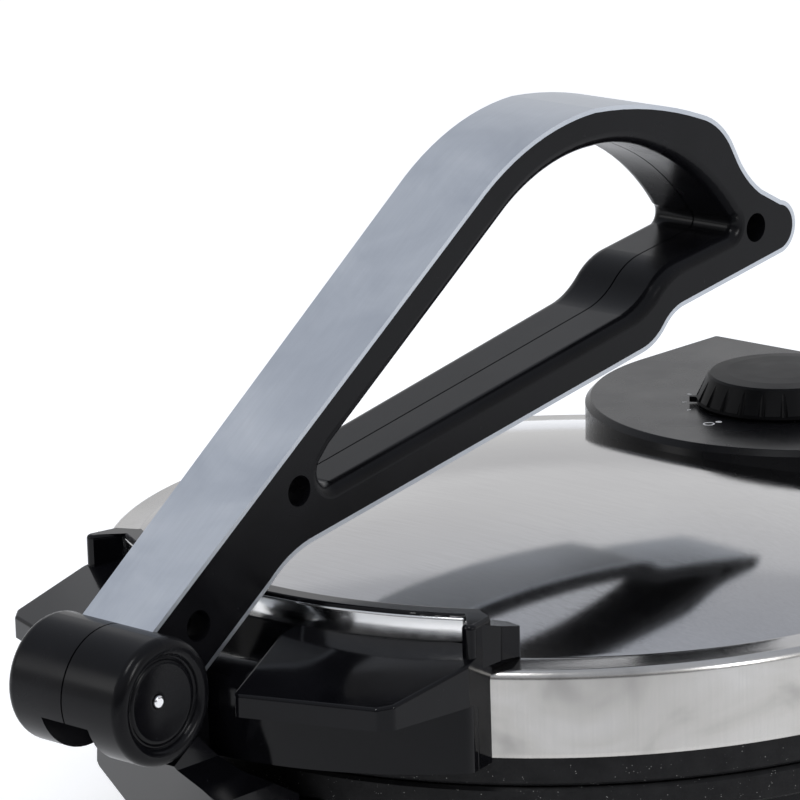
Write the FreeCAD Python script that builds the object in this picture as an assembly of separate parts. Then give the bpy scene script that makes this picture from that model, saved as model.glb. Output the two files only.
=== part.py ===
import FreeCAD, Part
import os, math

V = FreeCAD.Vector
os.makedirs("parts", exist_ok=True)

# ---------------------------------------------------------------- driving dimensions (mm)
R_LID = 143.0          # outer radius of the steel lid
R_RIM = 142.4          # outer radius of both cast plate rims
Z_LID = 60.0           # bottom edge of the steel lid above the table
GAP = 0.6              # air gap between the two plate rims when closed
RIM_H = 8.4            # visible height of each plate rim
BAND_H = 23.4          # straight part of the lid's side
R_CREASE = 132.5       # radius of the crease between ring and dome
Z_CREASE = 26.9        # height of the crease above the lid's edge
DOME_H = 14.8          # rise of the dome above the crease
DOME_P = 2.35          # how flat the dome's crown is
SHEET = 1.0            # lid sheet thickness

PIV_Y, PIV_Z = -197.1, Z_LID + 25.84   # lever pivot
BAR_R, BAR_H = 18.8, 23.2              # pivot barrel radius and half length
LEV_W = 14.5                           # lever half width
BAND_T = 1.4                           # thickness of the metal band
TAPER = 0.01353                        # how fast the lever widens towards its loop, per side
PIN_R = 4.0                            # lever pin radius
RUN = 0.06                             # running clearance on radius
SLOT_HW = 9.4                          # half width of the slot in the barrel
TONGUE_HW = 8.9                        # half width of the tongue in that slot
TONGUE_T = 3.5                         # half thickness of the tongue

HIN_Y, HIN_Z = 155.0, 51.3             # lid hinge axis
HPIN_R = 3.0

COV_Y, COV_R = 126.7, 74.7             # rear cover: centre and radius of its round front
COV_REAR = 168.0
COV_TOP = Z_LID + 44.3
KNOB_Y = 110.5                         # dial centre
KNOB_RB, KNOB_RT, KNOB_H = 28.0, 23.8, 10.6

WALL_CY, WALL_R = -53.0, 111.5         # front housing: arc of its lower front wall
ARC_R = 140.3                          # front face of the raised arc wall
ARC_TOP = Z_LID + 42.0

YC = (215.9 - 168.0) / 2.0             # puts the overall box's centre over the origin


# ---------------------------------------------------------------- helpers
def cylz(r, z0, z1, x=0.0, y=0.0):
    return Part.makeCylinder(r, z1 - z0, V(x, y, z0), V(0, 0, 1))


def cylx(r, x0, x1, y, z):
    return Part.makeCylinder(r, x1 - x0, V(x0, y, z), V(1, 0, 0))


def cyly(r, y0, y1, x, z):
    return Part.makeCylinder(r, y1 - y0, V(x, y0, z), V(0, 1, 0))


def ring(r0, r1, z0, z1, x=0.0, y=0.0):
    return cylz(r1, z0, z1, x, y).cut(cylz(r0, z0 - 1, z1 + 1, x, y))


def box(x0, x1, y0, y1, z0, z1):
    return Part.makeBox(x1 - x0, y1 - y0, z1 - z0, V(x0, y0, z0))


def prism_x(pts, x0, x1):
    """Polygon given as (y, z) points, extruded along X."""
    w = Part.makePolygon([V(x0, y, z) for y, z in pts] + [V(x0, pts[0][0], pts[0][1])])
    return Part.Face(w).extrude(V(x1 - x0, 0, 0))


def prism_z(pts, z0, z1):
    """Polygon given as (x, y) points, extruded along Z."""
    w = Part.makePolygon([V(x, y, z0) for x, y in pts] + [V(pts[0][0], pts[0][1], z0)])
    return Part.Face(w).extrude(V(0, 0, z1 - z0))


def prism_y(pts, y0, y1):
    """Polygon given as (x, z) points, extruded along Y."""
    w = Part.makePolygon([V(x, y0, z) for x, z in pts] + [V(pts[0][0], y0, pts[0][1])])
    return Part.Face(w).extrude(V(0, y1 - y0, 0))


def path_face(start, segs, x):
    """Closed face in the plane X = x from lines ("L", end) and arcs ("A", mid, end)."""
    edges, cur = [], start
    for s in segs:
        if s[0] == "L":
            edges.append(Part.LineSegment(V(x, *cur), V(x, *s[1])).toShape())
            cur = s[1]
        else:
            edges.append(Part.Arc(V(x, *cur), V(x, *s[1]), V(x, *s[2])).toShape())
            cur = s[2]
    if cur != start:
        edges.append(Part.LineSegment(V(x, *cur), V(x, *start)).toShape())
    return Part.Face(Part.Wire(Part.__sortEdges__(edges)))


def revolve(pts, angle=360.0):
    """Closed (r, z) polygon turned about Z."""
    w = Part.makePolygon([V(r, 0, z) for r, z in pts] + [V(pts[0][0], 0, pts[0][1])])
    return Part.Face(w).revolve(V(0, 0, 0), V(0, 0, 1), angle)


def sector(a0, a1, z0, z1, reach=260.0):
    """Wedge about Z between two bearings in degrees."""
    n = 6
    pts = [(0.0, 0.0)]
    for i in range(n + 1):
        a = math.radians(a0 + (a1 - a0) * i / n)
        pts.append((reach * math.cos(a), reach * math.sin(a)))
    return prism_z(pts, z0, z1)


def rounded(shape, radius, pick, chamfer=False):
    """Rounds the picked edges; keeps the shape as it was where the radius does not fit."""
    edges = [e for e in shape.Edges if pick(e)]
    for r in (radius, radius * 0.7, radius * 0.4):
        try:
            s = shape.makeChamfer(r, edges) if chamfer else shape.makeFillet(r, edges)
            if s.isValid() and s.Volume > 0.5 * shape.Volume:
                return s
        except Exception:
            pass
    return shape


def fuse(first, *rest):
    s = first.multiFuse(list(rest)) if rest else first
    return s.removeSplitter()


def polar(r, deg, cx=0.0, cy=0.0):
    a = math.radians(deg)
    return cx + r * math.cos(a), cy + r * math.sin(a)


def save(name, shape):
    s = shape.copy()
    s.translate(V(0, YC, 0))
    s.exportStep("parts/%s.step" % name)
    print(name, len(s.Solids), s.isValid(), round(s.Volume / 1000.0, 2), "cm3")


def flat(e, axis, val, tol=1e-3):
    b = e.BoundBox
    lo, hi = ((b.XMin, b.XMax), (b.YMin, b.YMax), (b.ZMin, b.ZMax))[axis]
    return abs(lo - val) < tol and abs(hi - val) < tol


# ---------------------------------------------------------------- lid shell
def dome_z(r):
    return Z_LID + Z_CREASE + DOME_H * (1.0 - (min(r, R_CREASE) / R_CREASE) ** DOME_P)


def lid_wire(drop):
    """Outline of the lid at the given depth below its outer skin, closed along the axis and the rim."""
    ro = R_LID - drop
    zc = Z_LID + Z_CREASE - drop
    zb = Z_LID + BAND_H
    e = []
    e.append(Part.LineSegment(V(0, 0, Z_LID), V(ro, 0, Z_LID)).toShape())
    e.append(Part.LineSegment(V(ro, 0, Z_LID), V(ro, 0, zb)).toShape())
    rs = 2.8 - drop
    top = V(ro - rs, 0, zb + rs)
    mid = V(ro - rs + rs * math.cos(math.radians(42)), 0, zb + rs * math.sin(math.radians(42)))
    e.append(Part.Arc(V(ro, 0, zb), mid, top).toShape())
    cr = V(R_CREASE, 0, zc)
    e.append(Part.LineSegment(top, cr).toShape())
    pts = []
    n = 14
    for i in range(n + 1):
        r = R_CREASE * (1.0 - i / n)
        pts.append(V(r, 0, dome_z(r) - drop))
    sp = Part.BSplineCurve()
    sp.interpolate(pts)
    e.append(sp.toShape())
    e.append(Part.LineSegment(pts[-1], V(0, 0, Z_LID)).toShape())
    return Part.Wire(e)


def turn(w):
    return Part.Face(w).revolve(V(0, 0, 0), V(0, 0, 1), 360)


lid_outer = turn(lid_wire(0.0))
lid_inner = turn(lid_wire(SHEET))
lid_block = lid_outer.fuse(cylz(R_LID, Z_LID - 20, Z_LID + 1))      # everything the lid and plate occupy
lid_shell = lid_outer.cut(lid_inner)

# ---------------------------------------------------------------- base
Z_RIM_T = Z_LID - RIM_H - GAP            # top of the lower plate
Z_RIM_B = Z_RIM_T - 9.0                  # underside of the lower plate's rim
base_outer = [(108, 5), (119, 5), (124, 7.5), (128.5, 13), (137.5, 32), (140.6, 38), (140.6, Z_RIM_B), (135.5, Z_RIM_B),
              (135.5, 38), (134.2, 32.6), (125.6, 14.4), (122, 9.8), (118, 8.2), (108, 8.2)]
base_housing = revolve(base_outer)
pad_f = box(-28, 28, -146, -122, 12, Z_RIM_B - 0.6)
pad_r = box(-48, 48, 122, 143.5, 12, Z_RIM_B - 0.6)
pad_f = rounded(pad_f, 5.0, lambda e: abs(e.BoundBox.ZLength) > 20 and e.BoundBox.YMin < -140)
pad_r = rounded(pad_r, 5.0, lambda e: abs(e.BoundBox.ZLength) > 20 and e.BoundBox.YMax > 140)
BOSS = [(112.0, a) for a in (30, 150, 210, 330)]
bosses = [cylz(6.5, 6.0, 44.0, *polar(r, a)) for r, a in BOSS]
base_housing = fuse(base_housing, pad_f, pad_r, *bosses)
for r, a in BOSS:
    x, y = polar(r, a)
    base_housing = base_housing.cut(cylz(4.4, 4, 22, x, y)).cut(cylz(2.0, 20, 46, x, y))
FOOT = [(98.0, a) for a in (45, 135, 225, 315)]
BSCR = [(113.0, a) for a in (0, 90, 180, 270)]
for r, a in BSCR:
    base_housing = base_housing.cut(cylz(1.6, 4, 9, *polar(r, a)))
POSTS = [(-11, 20.5), (11, 20.5), (-11, 35.0), (11, 35.0)]
for x, z in POSTS:
    base_housing = base_housing.cut(cyly(2.5, -147, -121, x, z))
HSCR = [(-38, 20), (38, 20), (-38, 34), (38, 34)]
for x, z in HSCR:
    base_housing = base_housing.cut(cyly(2.0, 128, 144, x, z))
# cooling slots low in the side wall
for a in list(range(-24, 25, 8)) + list(range(156, 205, 8)):
    s = box(118, 132, -1.6, 1.6, 14.5, 22.5)
    s.rotate(V(0, 0, 0), V(0, 0, 1), a)
    base_housing = base_housing.cut(s)
# cord entry at the rear left
GL_A = 128.0
gx, gy = polar(1.0, GL_A)
GL_Z = 24.0
gland_hole = Part.makeCylinder(6.0, 40, V(gx * 110, gy * 110, GL_Z), V(gx, gy, 0))
base_housing = base_housing.cut(gland_hole)
save("base_housing", base_housing)

bottom = cylz(117.0, 3.0, 5.0)
for r, a in FOOT:
    bottom = bottom.cut(cylz(4.0, 2, 6, *polar(r, a)))
for r, a in BSCR:
    bottom = bottom.cut(cylz(1.6, 2, 6, *polar(r, a)))
for r, a in BOSS:
    bottom = bottom.cut(cylz(4.4, 2, 6, *polar(r, a)))
for i in range(-3, 4):
    for sx in (-30, 30):
        s = box(sx - 18, sx + 18, i * 9 - 1.6, i * 9 + 1.6, 2, 6)
        bottom = bottom.cut(s)
save("base_bottom_cover", bottom)

feet = []
for r, a in FOOT:
    x, y = polar(r, a)
    f = Part.makeCone(10.0, 12.0, 3.0, V(x, y, 0), V(0, 0, 1)).fuse(cylz(4.0, 2.5, 7.0, x, y)).fuse(cylz(5.5, 5.0, 7.0, x, y))
    feet.append(f.removeSplitter())
save("rubber_feet", Part.makeCompound(feet))

scr = []
for r, a in BSCR:
    x, y = polar(r, a)
    s = cylz(1.6, 3, 8.2, x, y).fuse(cylz(3.2, 1.4, 3.0, x, y)).cut(box(x - 2.2, x + 2.2, y - 0.4, y + 0.4, 1.0, 2.0))
    scr.append(s.cut(box(x - 0.4, x + 0.4, y - 2.2, y + 2.2, 1.0, 2.0)).removeSplitter())
save("bottom_screws", Part.makeCompound(scr))

# lower cooking plate: flat face with a shallow step, rim turned down onto the housing
lower_plate = revolve([(0, 44), (134, 44), (134, Z_RIM_B), (R_RIM - 0.8, Z_RIM_B), (R_RIM, Z_RIM_B + 0.8), (R_RIM, Z_RIM_T - 1.0),
                       (R_RIM - 1.0, Z_RIM_T), (128.6, Z_RIM_T), (127.4, Z_RIM_T - 0.8), (0, Z_RIM_T - 0.8)])
for r, a in BOSS:
    lower_plate = lower_plate.cut(cylz(2.0, 43, 48, *polar(r, a)))
save("lower_plate", lower_plate)


def element(z_flat, sgn):
    """Sheathed ring element, flat where it is clamped to the plate, with two terminal stubs."""
    z1 = z_flat + sgn * 7.0
    prof = [(80.5, z_flat), (88.5, z_flat), (88.5, z_flat + sgn * 4.5), (86.5, z1), (82.5, z1), (80.5, z_flat + sgn * 4.5)]
    w = Part.makePolygon([V(r, 0, z) for r, z in prof] + [V(prof[0][0], 0, prof[0][1])])
    el = Part.Face(w).revolve(V(0, 0, 0), V(0, 0, 1), 330)
    el.rotate(V(0, 0, 0), V(0, 0, 1), 105)
    za, zb = sorted((z_flat + sgn * 2.0, z_flat + sgn * 13.0))
    for a in (108, 72):
        el = el.fuse(cylz(2.2, za, zb, *polar(84.5, a)))
    return el.removeSplitter()


save("lower_heating_element", element(44.0, -1))

shield = revolve([(0, 25.2), (100.8, 25.2), (100.8, 44.0), (100.0, 44.0), (100.0, 26.0), (0, 26.0)])
save("lower_heat_shield", shield)

pscr = []
for r, a in BOSS:
    x, y = polar(r, a)
    pscr.append(cylz(2.0, 20, 48, x, y).fuse(cylz(3.9, 18.5, 22, x, y)).removeSplitter())
save("lower_plate_screws", Part.makeCompound(pscr))

term = box(-16, 16, 20, 38, 5.0, 17.0)
term = rounded(term, 1.5, lambda e: e.BoundBox.ZMax > 16.9)
for x in (-10, 0, 10):
    term = term.cut(cylz(2.4, 11, 18, x, 29))
save("terminal_block", term)
fuse_b = cylx(3.2, -12, 12, -40, 22.0)
fuse_b = fuse_b.fuse(box(-5, 5, -42, -38, 22.0, 25.2))
save("thermal_fuse", fuse_b.removeSplitter())

gl = Part.makeCylinder(6.0, 18, V(gx * 124, gy * 124, GL_Z), V(gx, gy, 0))
gl = gl.fuse(Part.makeCylinder(8.5, 3.5, V(gx * 138.5, gy * 138.5, GL_Z), V(gx, gy, 0)))
gl = gl.cut(Part.makeCylinder(3.6, 40, V(gx * 110, gy * 110, GL_Z), V(gx, gy, 0)))
gl = gl.fuse(Part.makeCylinder(8.5, 3.0, V(gx * 121.0, gy * 121.0, GL_Z), V(gx, gy, 0)).cut(
    Part.makeCylinder(3.6, 40, V(gx * 110, gy * 110, GL_Z), V(gx, gy, 0))))
save("cord_gland", gl.removeSplitter().cut(base_housing))

# ---------------------------------------------------------------- lever post
strut = prism_x([(-188.4, Z_LID + 3.4), (-178.0, Z_LID + 9.6), (-165.5, Z_LID - 3.2), (-146.0, Z_LID - 14.6), (-146.0, 14.0), (-150.5, 14.0)], -26, 26)
strut = strut.common(prism_y([(-25, 10), (25, 10), (24, Z_LID - 9), (21.4, Z_LID - 4), (16.3, Z_LID + 2.0), (15.2, Z_LID + 16), (-15.2, Z_LID + 16),
                              (-16.3, Z_LID + 2.0), (-21.4, Z_LID - 4), (-24, Z_LID - 9)], -200, -140))
strut = rounded(strut, 1.6, lambda e: e.Length > 30 and e.BoundBox.YMax < -149 and e.BoundBox.XLength < 12, chamfer=False)
web = prism_x([(PIV_Y, PIV_Z - TONGUE_T), (-174.6, PIV_Z - TONGUE_T), (-174.6, Z_LID - 2), (-166.6, Z_LID - 4), (-166.6, PIV_Z + TONGUE_T - 1.5),
               (-168.1, PIV_Z + TONGUE_T), (PIV_Y, PIV_Z + TONGUE_T)], -TONGUE_HW, TONGUE_HW)
eye = cylx(8.4, -TONGUE_HW, TONGUE_HW, PIV_Y, PIV_Z)
lever_post = fuse(strut, web, eye).cut(cylx(PIN_R, -30, 30, PIV_Y, PIV_Z))
for x, z in POSTS:
    lever_post = lever_post.cut(cyly(2.5, -152.0 if z < 30 else -160.0, -140, x, z))
save("lever_post", lever_post)

ps = []
for x, z in POSTS:
    y0 = -152.0 if z < 30 else -160.0
    ps.append(cyly(2.5, y0, -121.5, x, z).fuse(cyly(4.4, -122.0, -118.6, x, z)).removeSplitter())
save("post_screws", Part.makeCompound(ps))

pin = cylx(PIN_R, -15.6, 15.6, PIV_Y, PIV_Z)
for sd in (-1, 1):
    nub = Part.makeCylinder(2.0, 5.2, V(sd * 15.6, PIV_Y, PIV_Z), V(sd, 0, 0))
    nub = rounded(nub, 0.9, lambda e: abs(abs(e.BoundBox.XMin) - 20.8) < 1e-3 and abs(abs(e.BoundBox.XMax) - 20.8) < 1e-3)
    pin = pin.fuse(nub)
save("lever_pin", pin.removeSplitter())

# ---------------------------------------------------------------- rear hinge
br = box(-46, 46, 143.5, 147.0, 13.5, 40.5)
br = rounded(br, 4.0, lambda e: abs(e.BoundBox.YLength - 3.5) < 1e-3)
ears = []
for s in (-1, 1):
    ear = prism_x([(143.5, 24), (147, 24), (158.5, 45.0), (162, HIN_Z), (158, HIN_Z + 6.4), (152, HIN_Z + 6.4), (147.6, HIN_Z), (143.5, 40)],
                  min(s * 27, s * 31), max(s * 27, s * 31))
    ear = ear.fuse(cylx(7.0, min(s * 27, s * 31), max(s * 27, s * 31), HIN_Y, HIN_Z))
    ears.append(ear)
hinge_bracket = fuse(br, *ears).cut(cylx(HPIN_R, -60, 60, HIN_Y, HIN_Z))
hinge_bracket = hinge_bracket.cut(box(-60, 60, 130, 143.5, 0, 70)).cut(cylz(R_LID + 0.4, Z_RIM_B - 1, 70))
for x, z in HSCR:
    hinge_bracket = hinge_bracket.cut(cyly(2.0, 140, 150, x, z))
save("hinge_bracket", hinge_bracket)
hs = []
for x, z in HSCR:
    s = cyly(2.0, 131, 147.2, x, z).fuse(cyly(3.8, 147.0, 149.2, x, z))
    s = s.cut(box(x - 2.6, x + 2.6, 148.2, 150, z - 0.45, z + 0.45)).cut(box(x - 0.45, x + 0.45, 148.2, 150, z - 2.6, z + 2.6))
    hs.append(s.removeSplitter())
save("hinge_bracket_screws", Part.makeCompound(hs))
hp = cylx(HPIN_R, -31.0, 31.0, HIN_Y, HIN_Z)
hp = hp.fuse(cylx(4.4, -33.0, -31.0, HIN_Y, HIN_Z)).fuse(cylx(4.4, 31.0, 33.0, HIN_Y, HIN_Z))
save("hinge_pin", hp.removeSplitter())

# lid side of the hinge: plate against the steel side, web down to a long knuckle
arm = box(-25.5, 25.5, 138, 147.2, Z_LID + 1.0, Z_LID + 21.0)
armweb = prism_x([(143.2, Z_LID + 1.0), (147.2, Z_LID + 12), (149.5, Z_LID + 6), (159.6, HIN_Z + 4), (161.6, HIN_Z), (155, HIN_Z - 6.6), (148.4, HIN_Z), (148.6, HIN_Z + 4)], -25.5, 25.5)
knuckle = cylx(6.8, -25.5, 25.5, HIN_Y, HIN_Z)
hinge_arm = fuse(arm, armweb, knuckle).cut(lid_block).cut(cylx(HPIN_R + RUN, -60, 60, HIN_Y, HIN_Z))
ASCR = [(-17, Z_LID + 11), (17, Z_LID + 11)]
for x, z in ASCR:
    hinge_arm = hinge_arm.cut(cyly(1.8, 130, 160, x, z))
    hinge_arm = hinge_arm.cut(cyly(3.8, 147.2, 165, x, z))
    lid_shell = lid_shell.cut(cyly(1.8, 130, 160, x, z))
save("hinge_arm", hinge_arm)
hs = []
for x, z in ASCR:
    s = cyly(1.8, 136, 147.4, x, z).fuse(cyly(3.4, 147.2, 149.0, x, z))
    s = s.cut(box(x - 2.4, x + 2.4, 148.2, 150, z - 0.4, z + 0.4)).cut(box(x - 0.4, x + 0.4, 148.2, 150, z - 2.4, z + 2.4))
    hs.append(s.removeSplitter())
save("hinge_arm_screws", Part.makeCompound(hs))

# ---------------------------------------------------------------- lid inner pieces
Z_UP = Z_LID - RIM_H                       # lower edge of the upper plate's rim
upper_plate = revolve([(0, Z_UP + 0.8), (127.4, Z_UP + 0.8), (128.6, Z_UP), (R_RIM - 1.0, Z_UP), (R_RIM, Z_UP + 1.0), (R_RIM, Z_LID),
                       (134, Z_LID), (134, Z_LID - 1.4), (0, Z_LID - 1.4)])
STUD = [(110.0, a) for a in (45, 135, 225, 315)]
for r, a in STUD:
    upper_plate = upper_plate.cut(cylz(2.0, Z_LID - 5.0, Z_LID + 3, *polar(r, a)))
save("upper_plate", upper_plate)
save("upper_heating_element", element(Z_LID - 1.4, 1))
ush = revolve([(0, Z_LID + 16.0), (100.8, Z_LID + 16.0), (100.8, Z_LID - 1.4), (100.0, Z_LID - 1.4), (100.0, Z_LID + 15.2), (0, Z_LID + 15.2)])
ush = ush.cut(cylz(20.0, Z_LID + 5, Z_LID + 30, 0, KNOB_Y))
save("upper_heat_shield", ush)
st = []
for r, a in STUD:
    x, y = polar(r, a)
    s = cylz(2.0, Z_LID - 5.0, Z_LID + 40, x, y).fuse(cylz(5.0, Z_LID - 1.4, Z_LID + 3, x, y)).fuse(cylz(4.0, Z_LID + 20, Z_LID + 45, x, y))
    st.append(s.common(lid_inner.fuse(cylz(134, Z_LID - 8, Z_LID + 1))).removeSplitter())
save("upper_plate_studs", Part.makeCompound(st))

# ---------------------------------------------------------------- lid front housing
A0, A1 = -123.4, -56.6
zb, zt = Z_LID - 1.0, Z_LID + 27.0
body = cylz(WALL_R, zb, zt, 0, WALL_CY)
body = rounded(body, 8.0, lambda e: flat(e, 2, zt))
body = body.common(sector(A0, A1, zb - 5, zt + 5))
flank = prism_z([(80.66, -139.0), (75.63, -115.0), (140.0, -115.0), (140.0, -139.0)], zb - 5, zt + 40)      # outside the housing's right end face
flank_l = flank.mirror(V(0, 0, 0), V(1, 0, 0))
body = body.cut(flank).cut(flank_l)
body = rounded(body, 3.5, lambda e: e.BoundBox.ZLength > 15 and e.BoundBox.XLength < 0.5 and e.BoundBox.YMax < -128)
hollow = cylz(WALL_R - 2.8, zb - 1, zt - 9.0, 0, WALL_CY).common(sector(A0 + 1.6, A1 - 1.6, zb - 5, zt + 5))
body = body.cut(hollow)

# raised arc wall behind the grips, with a post and a lug over the shoulder at each end
arc = ring(133.2, ARC_R, Z_LID + 20, ARC_TOP).common(sector(-120.8, -59.2, Z_LID, ARC_TOP + 5))
arc = rounded(arc, 1.2, lambda e: flat(e, 2, ARC_TOP) and e.Length > 60)
deck = ring(133.2, 146.0, Z_LID + 20, zt).common(sector(-120.5, -59.5, Z_LID, ARC_TOP + 5))
post = prism_z([polar(139.0, -60.6), polar(142.4, -60.2), (74.6, -129.6), (79.0, -130.6), (76.6, -119.6), (69.0, -116.0)], zb, ARC_TOP).cut(flank)
post = rounded(post, 2.0, lambda e: e.BoundBox.ZLength > 10 and e.BoundBox.YMax < -128 and e.BoundBox.XMin > 76)
post = rounded(post, 1.8, lambda e: e.BoundBox.ZMin > ARC_TOP - 1.0 and e.BoundBox.YMax < -118 and e.BoundBox.YMin < -127)
hook = prism_z([(75.4, -126.5), (77.6, -124.4), (78.8, -117.6), (76.6, -106.6), (68.6, -103.6), (64.0, -117.0)], Z_LID + 18, ARC_TOP)
hook = hook.cut(prism_x([(-125.0, ARC_TOP - 0.6), (-95.0, ARC_TOP - 9.0), (-95.0, ARC_TOP + 20), (-125.0, ARC_TOP + 20)], 40, 120))
hook = hook.cut(cyly(9.0, -140, -90, 83.6, Z_LID + 21.5))
hook = rounded(hook, 2.4, lambda e: e.BoundBox.ZLength > 6 and e.BoundBox.XMin > 76.2 and e.BoundBox.YMin > -120)
hook = rounded(hook, 2.2, lambda e: e.BoundBox.ZMin > ARC_TOP - 9.0 and e.BoundBox.XMin > 68.0 and e.Length > 2)
ends = [post, hook, post.mirror(V(0, 0, 0), V(1, 0, 0)), hook.mirror(V(0, 0, 0), V(1, 0, 0))]

# the two finger grips: wedges with a thin front lip
EDX, EDY = 0.9424, 0.3345                 # direction of a grip's front edge, right side
NX, NY = -EDY, EDX
F0 = (36.2, -177.8)
LIP_T = Z_LID + 25.6
SLOPE = 0.205


def grip_top(lift):
    """Block above the grip's sloping top face."""
    pts = []
    for d, z in ((-20.0, LIP_T + lift - 20 * SLOPE), (90.0, LIP_T + lift + 90 * SLOPE), (90.0, LIP_T + 90), (-20.0, LIP_T + 90)):
        pts.append(V(F0[0] + d * NX - 90 * EDX, F0[1] + d * NY - 90 * EDY, z))
    return Part.Face(Part.makePolygon(pts + [pts[0]])).extrude(V(EDX * 220, EDY * 220, 0))


plan = [(31.4, -179.4), (73.2, -164.6), (76.4, -160.6), (79.3, -132.5), (76.9, -121.0), (58, -127), (19.5, -136), (19.5, -148)]
grip = prism_z(plan, Z_LID + 19.0, Z_LID + 60).cut(grip_top(0.0))
grip = rounded(grip, 2.4, lambda e: e.BoundBox.XLength < 0.01 and e.BoundBox.YLength < 0.01 and e.BoundBox.YMax < -155)
grip = rounded(grip, 1.1, lambda e: e.BoundBox.ZMin > LIP_T - 1.0 and e.BoundBox.YMin < -150 and e.Length > 3)
inner_plan = [(34.6, -175.0), (71.8, -161.8), (73.6, -159.4), (73.6, -128), (30, -132)]
pocket = prism_z(inner_plan, Z_LID + 18.0, Z_LID + 60).cut(grip_top(-3.2)).cut(cylz(WALL_R, Z_LID, Z_LID + 70, 0, WALL_CY))
grip = grip.cut(pocket).cut(cylz(ARC_R - 1.0, Z_LID, Z_LID + 80))
grip_l = grip.mirror(V(0, 0, 0), V(1, 0, 0))
lid_near = turn(lid_wire(-0.08)).fuse(cylz(R_LID + 0.08, Z_LID - 20, Z_LID + 1))      # a hair of air over the steel; the screw bosses bear on it
front_housing = fuse(body, deck, arc, grip, grip_l, *ends).cut(lid_near)
FS = [(-103.0, 10.0), (-77.0, 10.0)]
fscr = []
for a, h in FS:
    ux, uy = polar(1.0, a)
    z = Z_LID + h
    bs = Part.makeCylinder(4.5, 18.0, V(ux * 143, uy * 143, z), V(ux, uy, 0)).cut(lid_block)
    hole = Part.makeCylinder(1.7, 14.0, V(ux * 138, uy * 138, z), V(ux, uy, 0))
    front_housing = front_housing.fuse(bs).cut(hole)
    lid_shell = lid_shell.cut(hole)
    s = Part.makeCylinder(1.7, 12.0, V(ux * 140, uy * 140, z), V(ux, uy, 0)).fuse(
        Part.makeCylinder(3.4, 2.4, V(ux * 138.6, uy * 138.6, z), V(ux, uy, 0)))
    fscr.append(s.removeSplitter())
front_housing = front_housing.removeSplitter()
save("front_housing", front_housing)
save("front_housing_screws", Part.makeCompound(fscr))

# ---------------------------------------------------------------- rear cover, dial and lamps
def cover_face(inset, z):
    r = COV_R - inset
    yr = COV_REAR - inset
    c = max(2.6 - inset, 0.8)
    k = c * (1 - math.sqrt(0.5))
    e = [Part.Arc(V(-r, COV_Y, z), V(0, COV_Y - r, z), V(r, COV_Y, z)).toShape(),
         Part.LineSegment(V(r, COV_Y, z), V(r, yr - c, z)).toShape(),
         Part.Arc(V(r, yr - c, z), V(r - k, yr - k, z), V(r - c, yr, z)).toShape(),
         Part.LineSegment(V(r - c, yr, z), V(-r + c, yr, z)).toShape(),
         Part.Arc(V(-r + c, yr, z), V(-r + k, yr - k, z), V(-r, yr - c, z)).toShape(),
         Part.LineSegment(V(-r, yr - c, z), V(-r, COV_Y, z)).toShape()]
    return Part.Face(Part.Wire(e))


Z_TAIL = Z_LID + 2.0
cover = cover_face(0.0, Z_TAIL).extrude(V(0, 0, COV_TOP - Z_TAIL))
cover = rounded(cover, 4.6, lambda e: flat(e, 2, COV_TOP), chamfer=True)
cover = rounded(cover, 0.5, lambda e: flat(e, 2, COV_TOP))
inside = cover_face(2.8, Z_TAIL - 5).extrude(V(0, 0, COV_TOP - 3.0 - Z_TAIL + 5))
rear_cover = cover.cut(inside).cut(lid_block)
rear_cover = rear_cover.cut(cylz(5.2, COV_TOP - 6, COV_TOP + 2, 0, KNOB_Y))
LENS = [(50.0, 112.0), (50.0, 130.0)]
for x, y in LENS:
    rear_cover = rear_cover.cut(cylz(3.4, COV_TOP - 6, COV_TOP + 2, x, y))
# two tabs that sit on the hinge arm's plate
tab = box(-24, 24, 147.2, 165.4, Z_LID + 19.4, Z_LID + 22.4)
rear_cover = rear_cover.fuse(tab).removeSplitter()
save("rear_cover", rear_cover)

lens = []
for x, y in LENS:
    s = cylz(3.4, COV_TOP - 4.5, COV_TOP + 1.0, x, y).fuse(cylz(4.6, COV_TOP - 5.0, COV_TOP - 3.0, x, y))
    s = s.removeSplitter()
    lens.append(rounded(s, 0.9, lambda e: flat(e, 2, COV_TOP + 1.0)))
save("indicator_lenses", Part.makeCompound(lens))

hole = cylz(21.0, Z_LID + 15, Z_LID + 60, 0, KNOB_Y)
lid_shell = lid_shell.cut(hole)
save("lid_shell", lid_shell)

th = cylz(16.5, Z_LID + 17.5, Z_LID + 37.0, 0, KNOB_Y)
th = rounded(th, 1.5, lambda e: e.BoundBox.XLength > 20)
th = fuse(th, cylz(9.0, Z_LID + 36.0, COV_TOP - 3.0, 0, KNOB_Y), cylz(5.2, Z_LID + 36.0, COV_TOP, 0, KNOB_Y))
th = th.cut(cylz(3.0 + RUN, Z_LID + 22.0, COV_TOP + 2, 0, KNOB_Y))
save("thermostat", th)

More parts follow.
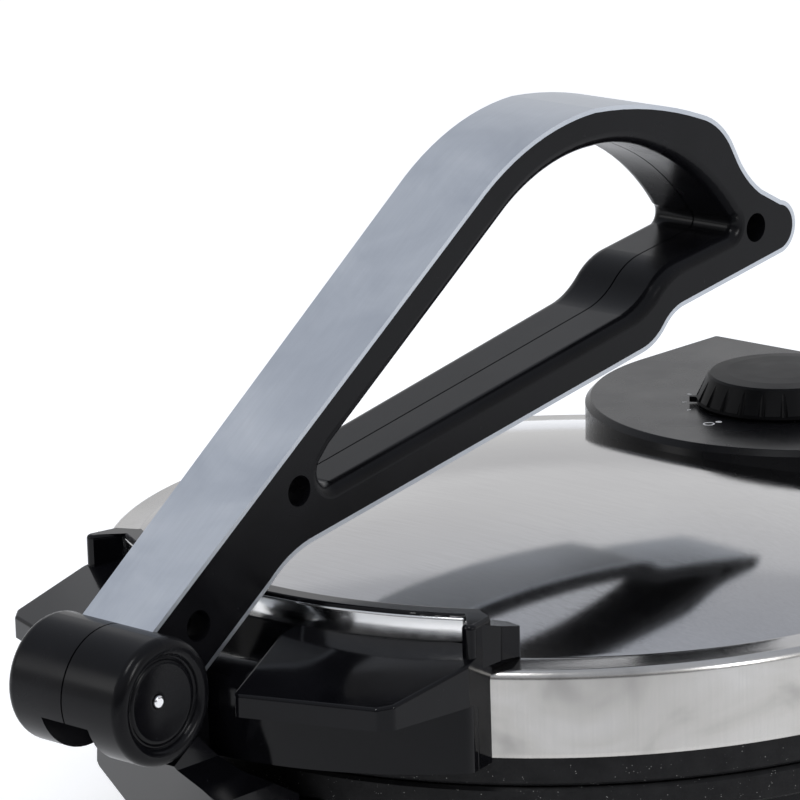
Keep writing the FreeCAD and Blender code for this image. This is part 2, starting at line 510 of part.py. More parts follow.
KZ = COV_TOP + 0.5
prof = [(3.0, KZ), (KNOB_RB - 0.7, KZ), (KNOB_RB, KZ + 0.7), (KNOB_RB - 0.1, KZ + 1.8), (KNOB_RT + 0.9, KZ + KNOB_H - 2.4), (KNOB_RT + 0.4, KZ + KNOB_H - 1.4),
        (KNOB_RT - 0.5, KZ + KNOB_H - 0.8), (18.0, KZ + KNOB_H - 0.35), (12.0, KZ + KNOB_H - 0.12), (6.0, KZ + KNOB_H - 0.03), (0.0, KZ + KNOB_H), (0.0, KZ + 7.0), (3.0, KZ + 7.0)]
knob = revolve(prof)
knob.translate(V(0, KNOB_Y, 0))
NRIB = 24
cuts = []
for i in range(NRIB):
    a = 360.0 * i / NRIB + 50.5
    x0, y0 = polar(KNOB_RB + 0.15, -90 - a, 0, KNOB_Y)
    x1, y1 = polar(KNOB_RT + 1.6, -90 - a, 0, KNOB_Y)
    d = V(x1 - x0, y1 - y0, KNOB_H - 3.6)
    cuts.append(Part.makeCone(1.25, 0.85, d.Length + 0.6, V(x0, y0, KZ + 1.6), d))
knob = knob.cut(Part.makeCompound(cuts))
nx, ny = polar(1.0, -90 - 50.5)
nib = prism_z([(nx * 26.0 - ny * 1.5, KNOB_Y + ny * 26.0 + nx * 1.5), (nx * 30.2 - ny * 0.5, KNOB_Y + ny * 30.2 + nx * 0.5),
               (nx * 30.2 + ny * 0.5, KNOB_Y + ny * 30.2 - nx * 0.5), (nx * 26.0 + ny * 1.5, KNOB_Y + ny * 26.0 - nx * 1.5)], KZ, KZ + 1.8)
knob = knob.fuse(nib).removeSplitter()
save("control_knob", knob)
sh = cylz(3.0, Z_LID + 22.5, KZ + 7.0, 0, KNOB_Y)
save("thermostat_shaft", sh)

# ---------------------------------------------------------------- lever
OUT0 = (0.0, 12.6)
OUT = [("L", (146.0, 114.8)), ("A", (172.0, 128.4), (200.0, 133.3)), ("A", (226.0, 129.9), (249.9, 122.8)), ("A", (258.9, 117.7), (264.0, 111.5)),
       ("L", (267.0, 106.2)), ("A", (271.9, 99.7), (278.5, 94.0)), ("L", (288.5, 88.6)), ("A", (294.2, 82.0), (289.2, 75.6)), ("L", (240.0, 67.9)),
       ("A", (234.53, 66.04), (230.0, 62.45)), ("A", (225.45, 58.89), (220.0, 57.0)), ("L", (72.0, 31.6)), ("A", (61.3, 28.6), (52.0, 22.8)), ("L", (0.0, -13.6))]
IN0 = (80.5, 55.8)
INN = [("L", (160.0, 111.2)), ("A", (178.7, 119.9), (200.0, 123.0)), ("A", (216.5, 121.3), (230.5, 116.4)), ("A", (250.0, 104.8), (265.2, 89.4)),
       ("A", (266.9, 85.8), (264.4, 83.5)), ("L", (240.0, 80.1)), ("A", (233.01, 77.98), (227.0, 73.85)),
       ("A", (220.93, 69.83), (214.0, 67.6)), ("L", (82.0, 44.5)), ("A", (76.3, 46.3), (76.2, 51.5))]


def spread(p):
    """Moves an outline point to where it lies on the lever's slightly flared side face."""
    d = TAPER * max(p[0] - 30.0, 0.0)
    return (p[0] - 1.077 * d + PIV_Y, p[1] + 0.386 * d + PIV_Z)


def at_pivot(segs):
    return [(q[0],) + tuple(spread(p) for p in q[1:]) for q in segs]


def beyond(side):
    """Everything outside the lever's flared side face."""
    y0, y1 = PIV_Y - 60, PIV_Y + 340
    pts = [(LEV_W + TAPER * (y0 - PIV_Y - 30), y0), (LEV_W + TAPER * (y1 - PIV_Y - 30), y1), (90, y1), (90, y0)]
    return prism_z([(side * x, y) for x, y in pts], 0, 320)


def on_side(e):
    m = e.valueAt(0.5 * (e.FirstParameter + e.LastParameter))
    return all(abs(abs(p.x) - LEV_W - TAPER * (p.y - PIV_Y - 30)) < 2e-3 for p in [m] + [v.Point for v in e.Vertexes])


def near(e, wire, tol=0.08):
    m = e.valueAt(0.5 * (e.FirstParameter + e.LastParameter))
    return Part.Vertex(V(0, m.y, m.z)).distToShape(wire)[0] < tol


line_face = path_face(spread(OUT0), at_pivot(OUT), 0.0)
out_face = Part.Face(line_face.OuterWire.makeOffset2D(2.0 - BAND_T, 0, False, False, False))
in_face = path_face(spread(IN0), at_pivot(INN), 0.0)
HOLES = [(65.6, 45.7), (276.4, 84.0), (22.6, 15.6)]
HOLES = [(spread(h)[0] - PIV_Y, spread(h)[1] - PIV_Z) for h in HOLES]
slot = prism_x([(PIV_Y, PIV_Z), (PIV_Y - 28.5 * math.cos(math.radians(18)), PIV_Z - 28.5 * math.sin(math.radians(18))), (PIV_Y - 28, PIV_Z - 34), (PIV_Y + 33, PIV_Z - 34),
                (PIV_Y + 33, PIV_Z + 4.2), (PIV_Y, PIV_Z + 4.2)], -SLOT_HW, SLOT_HW)

# turned outline of one barrel half: rounded ring, groove and dished disc
bx = BAR_H
fr = 3.3
q = math.sqrt(0.5)
bw = Part.Wire([
    Part.LineSegment(V(0, 0, 0), V(0, 0, BAR_R)).toShape(),
    Part.LineSegment(V(0, 0, BAR_R), V(bx - fr, 0, BAR_R)).toShape(),
    Part.Arc(V(bx - fr, 0, BAR_R), V(bx - fr + fr * q, 0, BAR_R - fr + fr * q), V(bx, 0, BAR_R - fr)).toShape(),
    Part.Arc(V(bx, 0, BAR_R - fr), V(bx - 0.45, 0, BAR_R - fr - 1.1), V(bx - 1.6, 0, 13.7)).toShape(),
    Part.Arc(V(bx - 1.6, 0, 13.7), V(bx - 2.35, 0, 13.0), V(bx - 2.0, 0, 12.3)).toShape(),
    Part.Arc(V(bx - 2.0, 0, 12.3), V(bx - 1.65, 0, 11.6), V(bx - 1.8, 0, 10.8)).toShape(),
    Part.Arc(V(bx - 1.8, 0, 10.8), V(bx - 2.9, 0, 6.8), V(bx - 3.4, 0, 2.9)).toShape(),
    Part.LineSegment(V(bx - 3.4, 0, 2.9), V(bx - 3.4, 0, 0)).toShape(),
    Part.LineSegment(V(bx - 3.4, 0, 0), V(0, 0, 0)).toShape()])
barrel = Part.Face(bw).revolve(V(0, 0, 0), V(1, 0, 0), 360)
barrel.translate(V(0, PIV_Y, PIV_Z))

half = out_face.extrude(V(30, 0, 0)).cut(in_face.extrude(V(32, 0, 0))).cut(beyond(1))
half = rounded(half, 4.0, lambda e: on_side(e) and near(e, in_face.OuterWire))
half = rounded(half, 0.8, lambda e: on_side(e) and near(e, out_face.OuterWire), chamfer=True)
wide = in_face.OuterWire.makeOffset2D(0.6, 0, False, False, False)
half = half.cut(Part.Face(wide).extrude(V(0.28, 0, 0)).cut(in_face.extrude(V(0.28, 0, 0))))
half = half.cut(cylx(BAR_R - 1.0, -1, 40, PIV_Y, PIV_Z))
brl = barrel.cut(cylx(0.01, -1, 0, PIV_Y, PIV_Z))
brl = brl.cut(cylx(BAR_R + 1, -1, 0.28, PIV_Y, PIV_Z).cut(cylx(BAR_R - 0.6, -2, 1, PIV_Y, PIV_Z)))
half = fuse(half, brl)
half = half.cut(cylx(15.2, -1, SLOT_HW, PIV_Y, PIV_Z)).cut(slot)
half_r = half.cut(cylx(PIN_R + RUN, -1, 16.0, PIV_Y, PIV_Z)).cut(cylx(2.3, -1, 40, PIV_Y, PIV_Z))
half_l = half_r.mirror(V(0, 0, 0), V(1, 0, 0))
for y, z in HOLES:
    half_r = half_r.cut(cylx(4.6, 3.2, 30, PIV_Y + y, PIV_Z + z)).cut(cylx(1.7, -1, 10, PIV_Y + y, PIV_Z + z))
    half_l = half_l.cut(cylx(1.7, -9.5, 1, PIV_Y + y, PIV_Z + z))
save("handle_half_right", half_r)
save("handle_half_left", half_l)

grown = line_face.OuterWire.makeOffset2D(2.0, 0, False, False, False)
band = Part.Face(grown).extrude(V(60, 0, 0))
band.translate(V(-30, 0, 0))
core = out_face.extrude(V(80, 0, 0))
core.translate(V(-40, 0, 0))
band = band.cut(core).cut(cylx(BAR_R, -40, 40, PIV_Y, PIV_Z)).cut(beyond(1)).cut(beyond(-1))
band = rounded(band, 0.35, lambda e: on_side(e) and e.Length > 3)
band = band.cut(slot).removeSplitter()
save("handle_band", band)

hsc = []
for y, z in HOLES:
    s = cylx(1.7, -9.5, 3.4, PIV_Y + y, PIV_Z + z).fuse(cylx(3.5, 3.2, 5.6, PIV_Y + y, PIV_Z + z))
    hsc.append(s.removeSplitter())
hsc2 = []
for s, (y, z) in zip(hsc, HOLES):
    c = s.cut(box(5.0, 6.0, PIV_Y + y - 2.4, PIV_Y + y + 2.4, PIV_Z + z - 0.45, PIV_Z + z + 0.45)).cut(
        box(5.0, 6.0, PIV_Y + y - 0.45, PIV_Y + y + 0.45, PIV_Z + z - 2.4, PIV_Z + z + 2.4))
    hsc2.append(c)
save("handle_screws", Part.makeCompound(hsc2))
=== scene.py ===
import bpy, bmesh, math
from mathutils import Vector, Matrix


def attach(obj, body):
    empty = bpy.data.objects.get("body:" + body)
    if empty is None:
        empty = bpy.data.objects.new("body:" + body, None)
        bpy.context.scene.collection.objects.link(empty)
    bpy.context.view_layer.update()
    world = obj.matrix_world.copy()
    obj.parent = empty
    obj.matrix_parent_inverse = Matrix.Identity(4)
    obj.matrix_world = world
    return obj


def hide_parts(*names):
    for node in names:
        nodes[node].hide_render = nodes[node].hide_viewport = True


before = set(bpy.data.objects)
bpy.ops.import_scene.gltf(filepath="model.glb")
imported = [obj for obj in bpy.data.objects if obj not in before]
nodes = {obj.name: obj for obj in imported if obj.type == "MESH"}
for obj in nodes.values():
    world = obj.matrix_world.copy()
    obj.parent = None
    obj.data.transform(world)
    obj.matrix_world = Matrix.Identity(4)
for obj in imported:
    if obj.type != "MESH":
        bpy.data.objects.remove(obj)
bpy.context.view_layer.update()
scene = bpy.context.scene
scene.view_settings.view_transform = "Standard"

YC, ZL = 23.95, 60.0          # plate-centred millimetres to the row frame


def P(x, y, z):
    """Plate-centred millimetres (z from the lid's edge) to row-frame metres."""
    return Vector((x / 1000.0, (y + YC) / 1000.0, (z + ZL) / 1000.0))


# ------------------------------------------------------------------ materials
class Mat:
    def __init__(self, name):
        self.m = bpy.data.materials.new(name)
        self.m.use_nodes = True
        self.t = self.m.node_tree
        self.b = self.t.nodes["Principled BSDF"]

    def n(self, kind, **kw):
        x = self.t.nodes.new(kind)
        for k, v in kw.items():
            setattr(x, k, v)
        return x

    def link(self, a, b):
        self.t.links.new(a, b)

    def coords(self, scale=(1, 1, 1), rot=(0, 0, 0)):
        tc = self.n("ShaderNodeTexCoord")
        mp = self.n("ShaderNodeMapping")
        mp.inputs["Scale"].default_value = scale
        mp.inputs["Rotation"].default_value = rot
        self.link(tc.outputs["Object"], mp.inputs["Vector"])
        return mp.outputs["Vector"]

    def noise(self, vec, scale, detail=3.0, rough=0.55, distortion=0.0):
        x = self.n("ShaderNodeTexNoise")
        x.inputs["Scale"].default_value = scale
        x.inputs["Detail"].default_value = detail
        x.inputs["Roughness"].default_value = rough
        x.inputs["Distortion"].default_value = distortion
        self.link(vec, x.inputs["Vector"])
        return x.outputs["Fac"]

    def ramp(self, fac, stops, interp="LINEAR"):
        r = self.n("ShaderNodeValToRGB")
        r.color_ramp.interpolation = interp
        els = r.color_ramp.elements
        while len(els) < len(stops):
            els.new(0.5)
        for e, (p, c) in zip(els, stops):
            e.position = p
            e.color = c if len(c) == 4 else (*c, 1.0)
        self.link(fac, r.inputs["Fac"])
        return r.outputs["Color"]

    def map(self, fac, a, b, lo=0.0, hi=1.0):
        r = self.n("ShaderNodeMapRange")
        r.inputs["From Min"].default_value = lo
        r.inputs["From Max"].default_value = hi
        r.inputs["To Min"].default_value = a
        r.inputs["To Max"].default_value = b
        self.link(fac, r.inputs["Value"])
        return r.outputs["Result"]

    def mix(self, fac, a, b, mode="MIX"):
        x = self.n("ShaderNodeMix", data_type="RGBA", blend_type=mode)
        if hasattr(fac, "node"):
            self.link(fac, x.inputs["Factor"])
        else:
            x.inputs["Factor"].default_value = fac
        for s, v in ((6, a), (7, b)):
            if hasattr(v, "node"):
                self.link(v, x.inputs[s])
            else:
                x.inputs[s].default_value = (*v, 1.0)
        return x.outputs[2]

    def bump(self, height, strength, dist, normal=None):
        x = self.n("ShaderNodeBump")
        x.inputs["Strength"].default_value = strength
        x.inputs["Distance"].default_value = dist
        self.link(height, x.inputs["Height"])
        if normal is not None:
            self.link(normal, x.inputs["Normal"])
        return x.outputs["Normal"]

    def set(self, **kw):
        for k, v in kw.items():
            s = self.b.inputs[k.replace("_", " ")]
            if hasattr(v, "node"):
                self.link(v, s)
            elif isinstance(v, tuple) and len(v) == 3 and s.type == "RGBA":
                s.default_value = (*v, 1.0)
            else:
                s.default_value = v
        return self.m


def brushed_steel(name="steel_brushed_x"):
    k = Mat(name)
    streak = k.noise(k.coords((22, 2600, 2600)), 1.0, 2.0, 0.6)
    fine = k.noise(k.coords((60, 5200, 5200)), 1.0, 1.0, 0.5)
    cloud = k.noise(k.coords(), 14.0, 3.0, 0.5)
    warm = k.ramp(cloud, [(0.30, (0.455, 0.450, 0.448)), (0.70, (0.515, 0.511, 0.508))])
    top = k.mix(k.map(streak, 0.0, 0.24, 0.35, 0.7), warm, (0.34, 0.332, 0.326))
    # the upright side is satin: upright hairlines and soft warm clouds
    hair = k.noise(k.coords((1500, 1500, 40)), 1.0, 2.0, 0.6)
    drift = k.noise(k.coords((1.0, 1.0, 1.6)), 26.0, 3.0, 0.5, 0.8)
    satin = k.ramp(drift, [(0.30, (0.300, 0.293, 0.280)), (0.50, (0.455, 0.442, 0.420)), (0.70, (0.515, 0.505, 0.490))])
    satin = k.mix(k.map(hair, 0.0, 0.16, 0.35, 0.7), satin, (0.33, 0.325, 0.32))
    xyz = k.n("ShaderNodeSeparateXYZ")
    k.link(k.coords(), xyz.inputs[0])
    upper = k.map(xyz.outputs["Z"], 0.0, 1.0, 0.0852, 0.0872)
    col = k.mix(upper, satin, top)
    rough = k.n("ShaderNodeMath", operation="ADD")
    k.link(k.map(streak, 0.06, 0.11, 0.3, 0.7), rough.inputs[0])
    k.link(k.map(upper, 0.16, 0.0), rough.inputs[1])
    nor = k.bump(fine, 0.06, 0.00004, k.bump(streak, 0.10, 0.00006))
    return k.set(Base_Color=col, Metallic=1.0, Roughness=rough.outputs[0], Normal=nor)


def satin_aluminium(name="band_aluminium"):
    k = Mat(name)
    lines = k.noise(k.coords((900, 60, 60)), 1.0, 2.0, 0.6)
    cloud = k.noise(k.coords((1.0, 1.0, 1.0)), 30.0, 4.0, 0.6, 0.6)
    col = k.ramp(cloud, [(0.28, (0.47, 0.50, 0.545)), (0.55, (0.55, 0.58, 0.62)), (0.75, (0.61, 0.635, 0.67))])
    col = k.mix(k.map(lines, 0.0, 0.14, 0.35, 0.7), col, (0.40, 0.42, 0.45))
    nor = k.bump(lines, 0.08, 0.00005)
    return k.set(Base_Color=col, Metallic=1.0, Roughness=k.map(cloud, 0.34, 0.46, 0.3, 0.7), Normal=nor)


def black_plastic(name, base, rough_lo, rough_hi, grain, spec=0.5):
    k = Mat(name)
    fine = k.noise(k.coords(), 2600.0, 2.0, 0.5)
    soft = k.noise(k.coords(), 45.0, 3.0, 0.55)
    lo = tuple(c * 0.8 for c in base)
    hi = tuple(c * 1.35 for c in base)
    col = k.ramp(soft, [(0.3, lo), (0.7, hi)])
    dust = k.noise(k.coords(), 520.0, 2.0, 0.6)
    col = k.mix(k.map(dust, 0.0, 0.5, 0.74, 0.80), col, tuple(min(1.0, c * 4 + 0.01) for c in base))
    wav = k.bump(soft, 0.03, 0.0004)
    nor = k.bump(fine, grain, 0.00003, wav)
    return k.set(Base_Color=col, Roughness=k.map(soft, rough_lo, rough_hi, 0.3, 0.7), Specular_IOR_Level=spec, Normal=nor)


def speckled(name="nonstick_speckle"):
    k = Mat(name)
    v = k.n("ShaderNodeTexVoronoi", feature="F1")
    v.inputs["Scale"].default_value = 1250.0
    k.link(k.coords(), v.inputs["Vector"])
    pick = k.noise(k.coords(), 420.0, 2.0, 0.5)
    dot = k.map(v.outputs["Distance"], 1.0, 0.0, 0.10, 0.22)
    gate = k.map(pick, 0.0, 1.0, 0.58, 0.63)
    both = k.n("ShaderNodeMath", operation="MULTIPLY")
    k.link(dot, both.inputs[0])
    k.link(gate, both.inputs[1])
    base = k.ramp(k.noise(k.coords(), 160.0, 4.0, 0.6), [(0.3, (0.004, 0.004, 0.0045)), (0.7, (0.009, 0.009, 0.0095))])
    col = k.mix(both.outputs[0], base, (0.26, 0.26, 0.25))
    grit = k.noise(k.coords(), 1300.0, 2.0, 0.6)
    return k.set(Base_Color=col, Roughness=k.map(grit, 0.42, 0.62, 0.3, 0.7), Specular_IOR_Level=0.14, Normal=k.bump(grit, 0.25, 0.00012))


def plated(name, base, rough_lo, rough_hi, tint):
    k = Mat(name)
    c = k.noise(k.coords(), 240.0, 4.0, 0.6)
    col = k.ramp(c, [(0.3, base), (0.7, tint)])
    lines = k.noise(k.coords((300, 300, 3000)), 1.0, 2.0, 0.5)
    return k.set(Base_Color=col, Metallic=1.0, Roughness=k.map(c, rough_lo, rough_hi, 0.3, 0.7), Normal=k.bump(lines, 0.05, 0.00004))


def rubber(name="foot_rubber"):
    k = Mat(name)
    g = k.noise(k.coords(), 1500.0, 3.0, 0.6)
    col = k.ramp(g, [(0.3, (0.018, 0.018, 0.018)), (0.7, (0.035, 0.034, 0.033))])
    return k.set(Base_Color=col, Roughness=k.map(g, 0.72, 0.9, 0.3, 0.7), Normal=k.bump(g, 0.3, 0.0001))


def pale(name, lo, hi, r0, r1):
    k = Mat(name)
    g = k.noise(k.coords(), 180.0, 4.0, 0.6)
    return k.set(Base_Color=k.ramp(g, [(0.3, lo), (0.7, hi)]), Roughness=k.map(g, r0, r1, 0.3, 0.7), Normal=k.bump(g, 0.06, 0.0001))


M_STEEL = brushed_steel()
M_BAND = satin_aluminium()
M_SATIN = black_plastic("plastic_satin_black", (0.0034, 0.0034, 0.0042), 0.20, 0.28, 0.06, 0.12)
M_GLOSS = black_plastic("plastic_gloss_black", (0.0026, 0.0026, 0.0034), 0.08, 0.13, 0.02, 0.17)
M_COVER = black_plastic("plastic_cover_black", (0.0034, 0.0034, 0.0040), 0.22, 0.30, 0.06, 0.18)
M_KNOB = black_plastic("plastic_knob_black", (0.0030, 0.0030, 0.0034), 0.34, 0.44, 0.12, 0.08)
M_PLATE = speckled()
M_ZINC = plated("zinc_plate", (0.52, 0.52, 0.52), 0.26, 0.40, (0.62, 0.62, 0.60))
M_CHROME = plated("pin_polished", (0.70, 0.70, 0.71), 0.08, 0.16, (0.76, 0.76, 0.77))
M_SHEATH = plated("element_sheath", (0.20, 0.19, 0.185), 0.40, 0.55, (0.30, 0.28, 0.26))
M_ALU = plated("mill_aluminium", (0.70, 0.71, 0.72), 0.22, 0.36, (0.78, 0.78, 0.79))
M_RUBBER = rubber()
M_WHITE = pale("ceramic_white", (0.68, 0.67, 0.63), (0.78, 0.77, 0.73), 0.45, 0.6)
M_PRINT = pale("print_white", (0.74, 0.74, 0.74), (0.84, 0.84, 0.84), 0.45, 0.6)
M_LENS = pale("lamp_lens", (0.30, 0.02, 0.012), (0.42, 0.035, 0.02), 0.08, 0.14)
M_TRIM = plated("trim_polished", (0.66, 0.66, 0.66), 0.10, 0.18, (0.72, 0.72, 0.71))

LOOK = {
    "lid_shell": M_STEEL, "handle_band": M_BAND,
    "handle_half_left": M_SATIN, "handle_half_right": M_SATIN, "base_housing": M_SATIN, "cord_gland": M_SATIN,
    "front_housing": M_GLOSS, "lever_post": M_GLOSS, "rear_cover": M_COVER, "control_knob": M_KNOB,
    "lower_plate": M_PLATE, "upper_plate": M_PLATE, "rubber_feet": M_RUBBER,
    "lever_pin": M_CHROME, "hinge_pin": M_CHROME,
    "lower_heating_element": M_SHEATH, "upper_heating_element": M_SHEATH,
    "lower_heat_shield": M_ALU, "upper_heat_shield": M_ALU,
    "terminal_block": M_WHITE, "thermal_fuse": M_WHITE, "thermostat": M_WHITE, "indicator_lenses": M_LENS,
}
for name, o in nodes.items():
    m = LOOK.get(name, M_ZINC)
    if not o.material_slots:
        o.data.materials.append(m)
    for s in o.material_slots:
        s.material = m


# ------------------------------------------------------------------ new pieces
def piece(name, bm, mat, body, smooth=True):
    me = bpy.data.meshes.new(name)
    bmesh.ops.recalc_face_normals(bm, faces=bm.faces)
    bm.to_mesh(me)
    bm.free()
    o = bpy.data.objects.new(name, me)
    scene.collection.objects.link(o)
    me.materials.append(mat)
    for p in me.polygons:
        p.use_smooth = smooth
    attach(o, body)
    return o


def sweep(bm, ring_pts, closed):
    """Skins a list of cross-section loops into one closed tube."""
    loops = [[bm.verts.new(p) for p in r] for r in ring_pts]
    n = len(loops[0])
    last = len(loops) if closed else len(loops) - 1
    for i in range(last):
        a, b = loops[i], loops[(i + 1) % len(loops)]
        for j in range(n):
            bm.faces.new((a[j], a[(j + 1) % n], b[(j + 1) % n], b[j]))
    if not closed:
        bm.faces.new(loops[0])
        bm.faces.new(list(reversed(loops[-1])))


def arc_strip(name, profile, a0, a1, steps, mat, body, cx=0.0, cy=0.0):
    """(r, z) profile swept round a vertical axis between two bearings."""
    bm = bmesh.new()
    rings = []
    closed = abs(a1 - a0) >= 359.9
    for i in range(steps if closed else steps + 1):
        a = math.radians(a0 + (a1 - a0) * i / steps)
        rings.append([P(cx + r * math.cos(a), cy + r * math.sin(a), z) for r, z in profile])
    sweep(bm, rings, closed)
    return piece(name, bm, mat, body)


# polished strip along the raised arc wall
trim = [(140.2, 33.2), (140.62, 33.4), (140.75, 34.1), (140.75, 40.3), (140.62, 40.9), (140.2, 41.1)]
arc_strip("front_trim_strip", trim, -119.6, -60.4, 128, M_TRIM, "lid")

# spun lid skin: one smooth turned surface, dome, crease, ring, shoulder and straight side
def lid_profile(drop):
    pts = []
    zc = 26.9 - drop
    for i in range(64):
        q = 132.5 * i / 64.0
        pts.append((q, zc + 14.8 * (1.0 - (q / 132.5) ** 2.35)))
    # the crease is a soft valley
    slope_d = -14.8 * 2.35 / 132.5
    slope_r = -0.7 / 7.7
    for i in range(9):
        t = i / 8.0
        q = 131.6 + 1.8 * t
        zd = zc + slope_d * (q - 132.5)
        zr = zc + slope_r * (q - 132.5)
        w = t * t * (3 - 2 * t)
        pts.append((q, zd * (1 - w) + zr * w))
    pts = [p for i, p in enumerate(pts) if i == 0 or p[0] > pts[i - 1][0] or i > 63]
    pts = [p for i, p in enumerate(pts) if not (i < 64 and p[0] >= 131.6)]
    rs = 2.8 - drop
    ro = 143.0 - drop
    for q in (134.6, 136.4, 138.2):
        pts.append((q, zc + slope_r * (q - 132.5)))
    for i in range(15):
        a = math.radians(90.0 - 90.0 * i / 14.0)
        pts.append((ro - rs + rs * math.cos(a), 23.4 + rs * math.sin(a)))
    for z in (20.0, 16.0, 12.0, 8.0, 4.0, 1.6, 0.5):
        pts.append((ro, z))
    return pts


def lathe(name, outer, inner, steps, mat, body):
    bm = bmesh.new()
    loop = outer[1:] + [(142.75, 0.12), (142.3, 0.12)] + list(reversed(inner[1:]))
    cols = []
    for i in range(steps):
        a = 2.0 * math.pi * i / steps
        ca, sa = math.cos(a), math.sin(a)
        cols.append([bm.verts.new(P(q * ca, q * sa, z)) for q, z in loop])
    top = bm.verts.new(P(0, 0, outer[0][1]))
    low = bm.verts.new(P(0, 0, inner[0][1]))
    n = len(loop)
    for i in range(steps):
        A, B = cols[i], cols[(i + 1) % steps]
        for j in range(n - 1):
            bm.faces.new((A[j], A[j + 1], B[j + 1], B[j]))
        bm.faces.new((top, A[0], B[0]))
        bm.faces.new((low, B[-1], A[-1]))
    return piece(name, bm, mat, body)


lid_skin = lathe("lid_shell_skin", lid_profile(0.0), lid_profile(1.0), 384, M_STEEL, "lid")
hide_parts("lid_shell")

# rolled edge of the steel side
bead = [(142.35 + 0.6 * math.cos(t), 0.75 + 0.6 * math.sin(t)) for t in [2 * math.pi * i / 10 for i in range(10)]]
arc_strip("lid_rolled_edge", bead, 0, 360, 240, M_STEEL, "lid")

# dial print on the rear cover
ZT = 44.3
KY = 110.5


def ring_mark(name, x, y, r0, r1):
    prof = [(r0, ZT - 0.05), (r0, ZT + 0.06), (r1, ZT + 0.06), (r1, ZT - 0.05)]
    return arc_strip(name, prof, 0, 360, 32, M_PRINT, "lid", x, y)


def dash(name, x, y, ang, length, width):
    ca, sa = math.cos(ang), math.sin(ang)
    bm = bmesh.new()
    lo, hi = [], []
    for u, v in ((-1, -0.8), (-0.8, -1), (0.8, -1), (1, -0.8), (1, 0.8), (0.8, 1), (-0.8, 1), (-1, 0.8)):
        px, py = u * length / 2, v * width / 2
        q = (x + px * ca - py * sa, y + px * sa + py * ca)
        lo.append(bm.verts.new(P(q[0], q[1], ZT - 0.05)))
        hi.append(bm.verts.new(P(q[0], q[1], ZT + 0.06)))
    bm.faces.new(list(reversed(lo)))
    bm.faces.new(hi)
    for i in range(8):
        j = (i + 1) % 8
        bm.faces.new((lo[i], lo[j], hi[j], hi[i]))
    return piece(name, bm, M_PRINT, "lid", smooth=False)


ring_mark("dial_mark_off", -1.6, 74.6, 1.4, 1.9)
ring_mark("dial_dot_off", -0.6, 78.4, 0.02, 1.05)
for i, deg in enumerate(range(33, 271, 18)):
    a = math.radians(deg)
    dash("dial_dash_%02d" % i, -32.5 * math.sin(a), KY + 1.0 - 32.5 * math.cos(a), math.radians(-90) - a, 1.3 + 0.08 * i, 0.55)

# ------------------------------------------------------------------ camera
AZ, EL, ROLL = math.radians(42.88), math.radians(14.70), math.radians(-1.73)
F_PX, DIST, CX, CY = 5181.3, 1616.76, 51.06, -66.12
r = Vector((math.cos(AZ), math.sin(AZ), 0.0))
b = Vector((math.sin(AZ) * math.cos(EL), -math.cos(AZ) * math.cos(EL), math.sin(EL)))
u = b.cross(r)
r2 = math.cos(ROLL) * r + math.sin(ROLL) * u
u2 = -math.sin(ROLL) * r + math.cos(ROLL) * u
C = -CX * r2 - CY * u2 + DIST * b
cam_d = bpy.data.cameras.new("camera")
cam_d.sensor_width = 36.0
cam_d.sensor_fit = "HORIZONTAL"
cam_d.lens = F_PX * 36.0 / 800.0
cam_d.clip_start, cam_d.clip_end = 0.05, 50.0
cam = bpy.data.objects.new("camera", cam_d)
cam.matrix_world = Matrix((
    (r2.x, u2.x, b.x, C.x / 1000.0),
    (r2.y, u2.y, b.y, (C.y + YC) / 1000.0),
    (r2.z, u2.z, b.z, (C.z + ZL) / 1000.0),
    (0, 0, 0, 1)))
scene.collection.objects.link(cam)
scene.camera = cam

# ------------------------------------------------------------------ floor, world and lights
bm = bmesh.new()
rim = [bm.verts.new((6.0 * math.cos(2 * math.pi * i / 96), 6.0 * math.sin(2 * math.pi * i / 96), 0.0)) for i in range(96)]
bm.faces.new(rim)
me = bpy.data.meshes.new("floor")
bm.to_mesh(me)
bm.free()
floor = bpy.data.objects.new("floor", me)
scene.collection.objects.link(floor)
# pale floor with painted light: an emission glow that is strongest behind the object and fades to none towards the
# camera side (painted shade in front)
kf = Mat("floor_pale_painted_glow")
grain = kf.noise(kf.coords(), 60.0, 3.0, 0.5)
pos = kf.coords()
ahead = kf.n("ShaderNodeVectorMath", operation="DOT_PRODUCT")
kf.link(pos, ahead.inputs[0])
ahead.inputs[1].default_value = (0.68, -0.73, 0.0)
painted_front_fade = kf.n("ShaderNodeMapRange", interpolation_type="SMOOTHSTEP")
kf.link(ahead.outputs["Value"], painted_front_fade.inputs["Value"])
for key, val in (("From Min", 0.14), ("From Max", 0.42), ("To Min", 0.36), ("To Max", 0.0)):
    painted_front_fade.inputs[key].default_value = val
# painted pool of light: extra emission in a soft disc round (0.16, -0.50) on the floor
painted_pool_distance = kf.n("ShaderNodeVectorMath", operation="DISTANCE")
kf.link(pos, painted_pool_distance.inputs[0])
painted_pool_distance.inputs[1].default_value = (0.16, -0.50, 0.0)
painted_light_pool = kf.n("ShaderNodeMapRange", interpolation_type="SMOOTHSTEP")
kf.link(painted_pool_distance.outputs["Value"], painted_light_pool.inputs["Value"])
for key, val in (("From Min", 0.0), ("From Max", 0.24), ("To Min", 0.42), ("To Max", 0.0)):
    painted_light_pool.inputs[key].default_value = val
# painted glow: the fading emission and the painted pool added together drive the floor's emission strength
painted_floor_glow = kf.n("ShaderNodeMath", operation="ADD")
kf.link(painted_front_fade.outputs["Result"], painted_floor_glow.inputs[0])
kf.link(painted_light_pool.outputs["Result"], painted_floor_glow.inputs[1])
me.materials.append(kf.set(Base_Color=kf.ramp(grain, [(0.3, (0.93, 0.93, 0.93)), (0.7, (0.95, 0.95, 0.95))]), Roughness=0.7,
                           Emission_Color=(1.0, 1.0, 1.0), Emission_Strength=painted_floor_glow.outputs[0]))

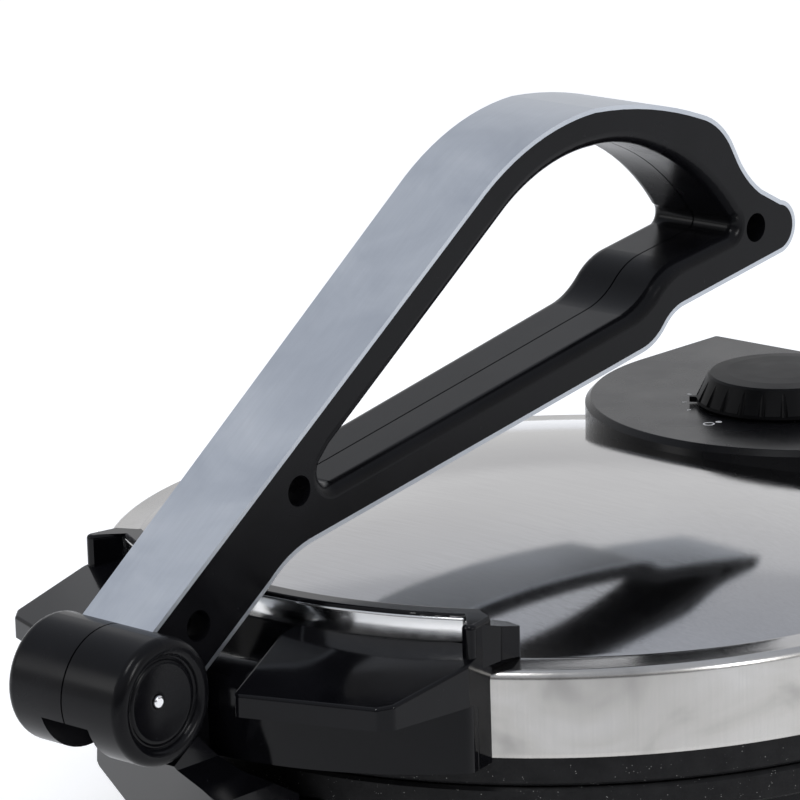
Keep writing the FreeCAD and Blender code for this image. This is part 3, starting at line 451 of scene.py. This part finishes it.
world = bpy.data.worlds.new("studio")
scene.world = world
world.use_nodes = True
wt = world.node_tree
bg = wt.nodes["Background"]
tc = wt.nodes.new("ShaderNodeTexCoord")
sp = wt.nodes.new("ShaderNodeSeparateXYZ")
wt.links.new(tc.outputs["Generated"], sp.inputs[0])
rp = wt.nodes.new("ShaderNodeValToRGB")
els = rp.color_ramp.elements
for _ in range(3):
    els.new(0.5)
for e, (pos, c) in zip(els, [(0.0, (0.78, 0.78, 0.78)), (0.10, (0.76, 0.76, 0.77)), (0.34, (0.70, 0.705, 0.725)), (0.70, (0.58, 0.61, 0.68)), (1.0, (0.64, 0.67, 0.73))]):
    e.position = pos
    e.color = (*c, 1.0)
wt.links.new(sp.outputs["Z"], rp.inputs["Fac"])
front = wt.nodes.new("ShaderNodeVectorMath")
front.operation = "DOT_PRODUCT"
front.inputs[1].default_value = (0.68, -0.73, 0.0)
wt.links.new(tc.outputs["Generated"], front.inputs[0])
side = wt.nodes.new("ShaderNodeMapRange")
low = wt.nodes.new("ShaderNodeMapRange")
for node, src, vals in ((side, front.outputs["Value"], (0.15, 0.85, 0.0, 0.85)), (low, sp.outputs["Z"], (0.12, 0.60, 1.0, 0.0))):
    node.interpolation_type = "SMOOTHSTEP"
    wt.links.new(src, node.inputs["Value"])
    for key, val in zip(("From Min", "From Max", "To Min", "To Max"), vals):
        node.inputs[key].default_value = val
both = wt.nodes.new("ShaderNodeMath")
both.operation = "MULTIPLY"
wt.links.new(side.outputs["Result"], both.inputs[0])
wt.links.new(low.outputs["Result"], both.inputs[1])
dim = wt.nodes.new("ShaderNodeMix")
dim.data_type = "RGBA"
wt.links.new(both.outputs[0], dim.inputs["Factor"])
wt.links.new(rp.outputs["Color"], dim.inputs[6])
dim.inputs[7].default_value = (0.07, 0.072, 0.08, 1.0)
wt.links.new(dim.outputs[2], bg.inputs["Color"])
bg.inputs["Strength"].default_value = 1.0


def area(name, loc, aim, sx, sy, power, col=(1, 1, 1)):
    d = bpy.data.lights.new(name, "AREA")
    d.shape = "RECTANGLE"
    d.size, d.size_y = sx, sy
    d.energy = power
    d.color = col
    o = bpy.data.objects.new(name, d)
    o.location = loc
    o.rotation_euler = (Vector(aim) - Vector(loc)).to_track_quat("-Z", "Y").to_euler()
    scene.collection.objects.link(o)
    return o


area("back_left", (-1.5, 1.6, 1.0), (0, 0, 0.08), 1.2, 0.8, 0.6)
area("top_small", (0.15, -0.75, 1.35), (0, -0.1, 0.08), 0.22, 0.5, 5)
area("side_right", (1.5, -0.15, 0.75), (0, -0.05, 0.08), 0.16, 0.6, 6)
area("front_left", (-1.2, -1.5, 0.9), (0, 0, 0.1), 0.5, 0.7, 3)
